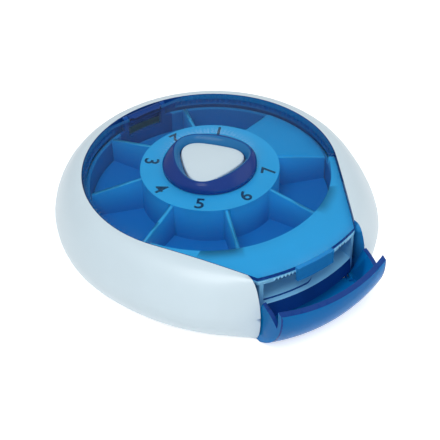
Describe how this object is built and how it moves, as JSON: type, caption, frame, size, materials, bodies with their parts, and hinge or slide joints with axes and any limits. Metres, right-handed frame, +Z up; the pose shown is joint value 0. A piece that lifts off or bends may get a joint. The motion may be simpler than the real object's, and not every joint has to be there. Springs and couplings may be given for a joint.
{
  "type": "automatic pill dispenser",
  "caption": "Push-button carousel pill dispenser with a clear blue crowned lid, white oval casing and a scoop door open at the front outlet.",
  "frame": {"origin": "on the table under the carousel axis, at the middle of the centre pad's underside", "axes": "+Z up along the carousel axis, -Y towards the outlet and its scoop door, +X to the right seen from the front"},
  "size_m": [0.139, 0.1578, 0.0398],
  "materials": {
    "casing_white": "gloss",
    "sky_plastic": "satin",
    "clear_blue": "translucent gloss",
    "deep_blue": "translucent gloss",
    "button_white": "satin",
    "acetal": "satin",
    "steel": "satin",
    "rubber": "matte"
  },
  "bodies": {
    "base": {"lower_shell": "casing_white", "upper_shell": "casing_white", "drum": "sky_plastic", "lid_hinge_pin": "steel", "centre_post": "steel", "post_screw": "steel", "tray_washer": "acetal", "detent_spring": "steel", "detent_screw": "steel", "door_pins": "steel", "case_screws": "steel", "rubber_feet": "rubber", "plunger_spring": "steel"},
    "lid": {"lid": "clear_blue", "button_surround": "deep_blue"},
    "button": {"button_cap": "button_white"},
    "plunger": {"plunger": "acetal"},
    "cam": {"drive_cam": "acetal", "drive_pawl": "steel"},
    "carousel": {"tray": "sky_plastic"},
    "door": {"door": "clear_blue"}
  },
  "joints": [
    {"name": "lid_hinge", "type": "hinge", "parent": "base", "child": "lid", "pos_m": [0, 0.0532, 0.0332], "axis": [-1, 0, 0], "range_deg": [0, 100]},
    {"name": "button_push", "type": "slide", "parent": "lid", "child": "button", "axis": [0, 0, 1], "range_m": [-0.004, 0], "stiffness_N_per_m": 250, "springref_m": 0.002},
    {"name": "plunger_slide", "type": "slide", "parent": "base", "child": "plunger", "axis": [0, 0, 1], "range_m": [-0.004, 0], "deforming": ["plunger_spring"]},
    {"name": "cam_turn", "type": "hinge", "parent": "base", "child": "cam", "pos_m": [0, 0, 0.008], "axis": [0, 0, 1], "range_deg": [-45, 0]},
    {"name": "carousel_turn", "type": "hinge", "parent": "base", "child": "carousel", "pos_m": [0, 0, 0.016], "axis": [0, 0, 1], "continuous": true},
    {"name": "door_hinge", "type": "hinge", "parent": "base", "child": "door", "pos_m": [0, -0.0665, 0.0045], "axis": [-1, 0, 0], "range_deg": [0, 31]}
  ],
  "couplings": [
    {"joint": "plunger_slide", "follows": "button_push", "ratio": 1},
    {"joint": "cam_turn", "follows": "button_push", "rad_per_m": 196.35}
  ]
}
